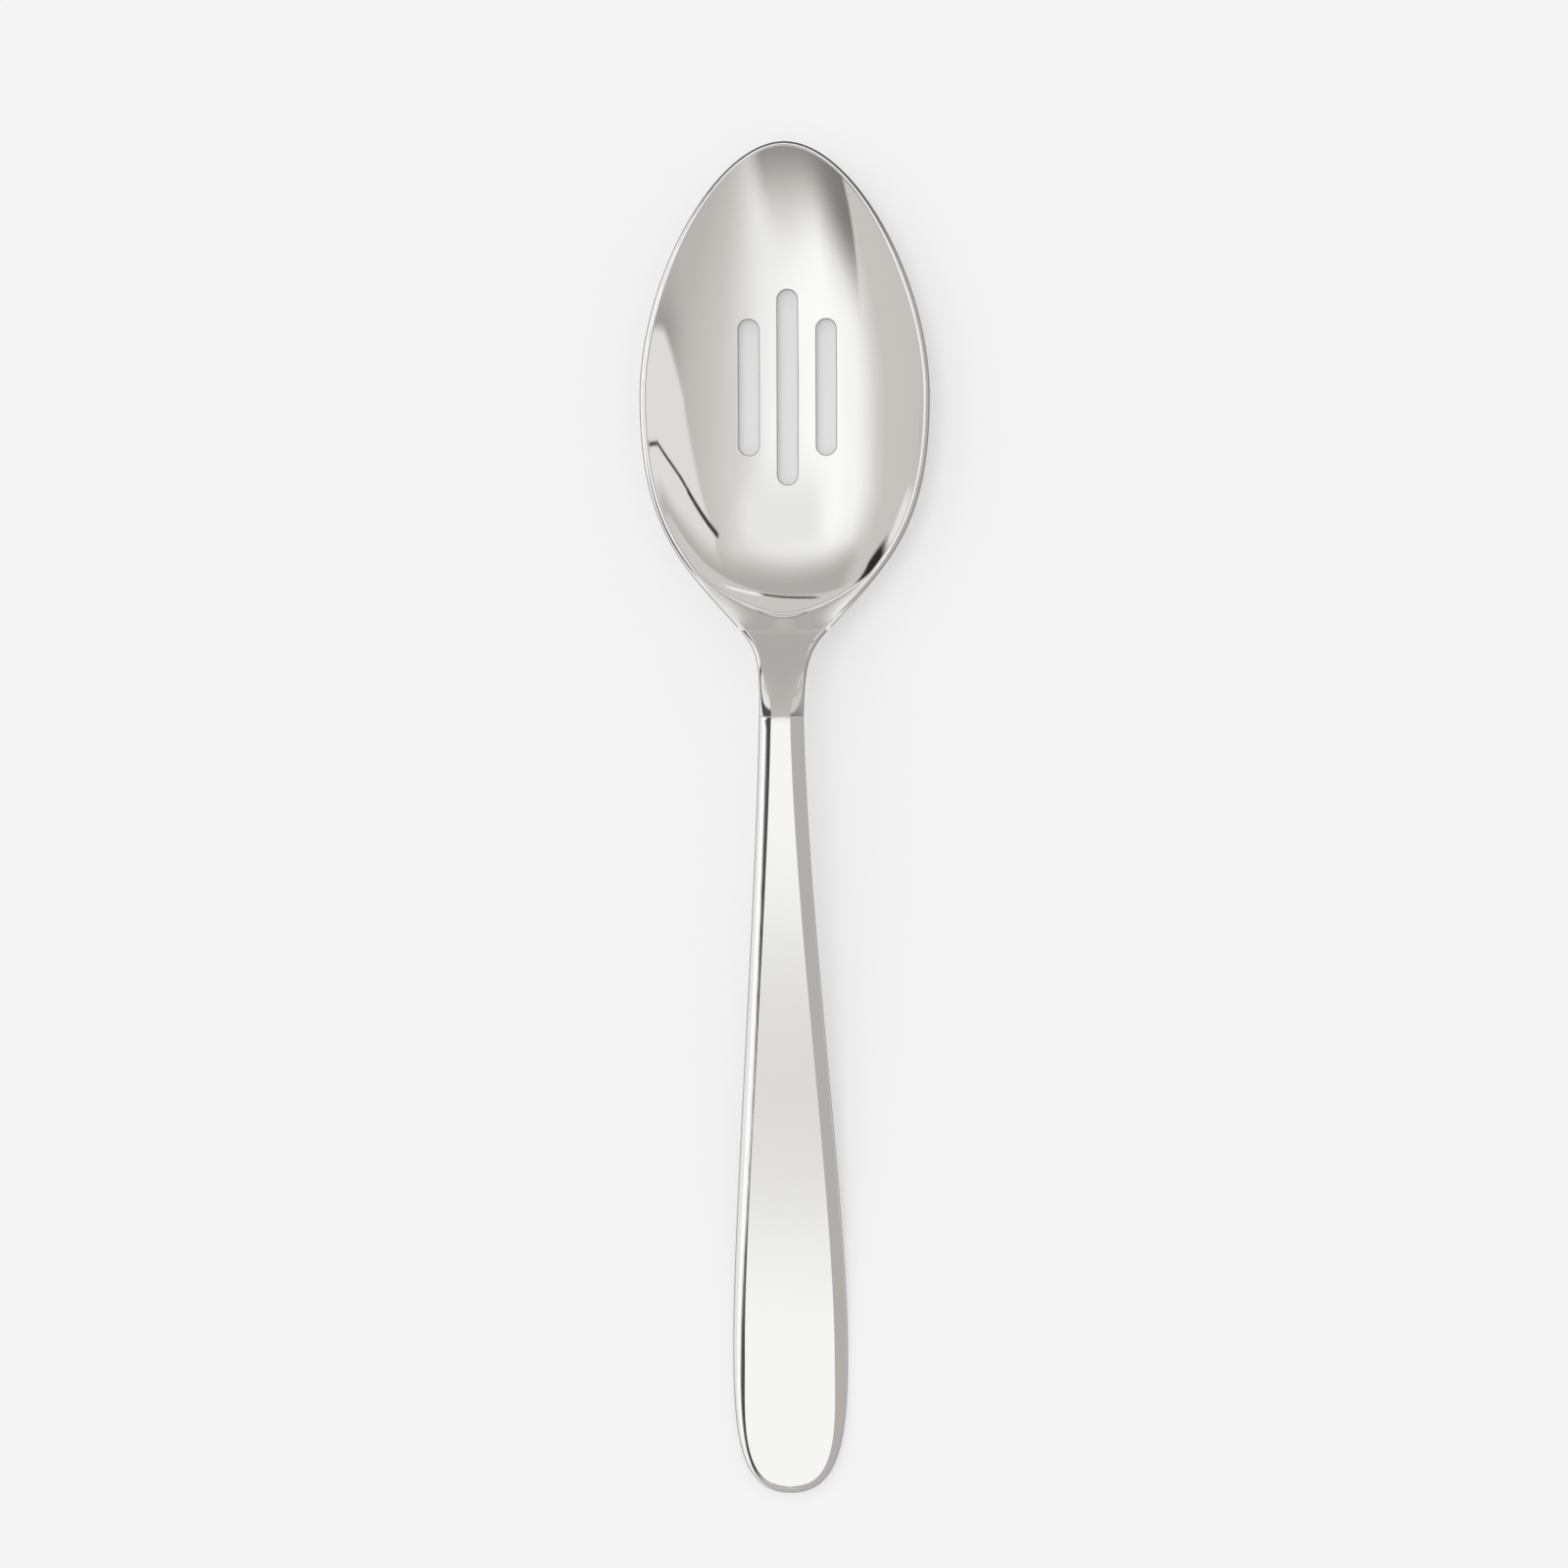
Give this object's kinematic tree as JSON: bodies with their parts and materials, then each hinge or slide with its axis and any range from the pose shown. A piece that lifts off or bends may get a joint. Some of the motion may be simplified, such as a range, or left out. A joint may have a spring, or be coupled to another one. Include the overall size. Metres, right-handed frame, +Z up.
{
  "type": "slotted serving spoon",
  "caption": "Long polished steel serving spoon with an egg-shaped slotted bowl, a faceted neck and a flat-topped handle that widens to a round end.",
  "frame": {"origin": "on the table, at the middle of the spoon's length and width, with the spoon lying on its bowl and handle end", "axes": "+Y along the spoon towards the bowl's tip, +Z up out of the hollow, +X across to the right"},
  "size_m": [0.0536, 0.25, 0.0235],
  "materials": {
    "polished_steel": "mirror polished stainless steel"
  },
  "bodies": {
    "root": {"bowl": "polished_steel", "neck": "polished_steel", "handle": "polished_steel"}
  },
  "joints": []
}
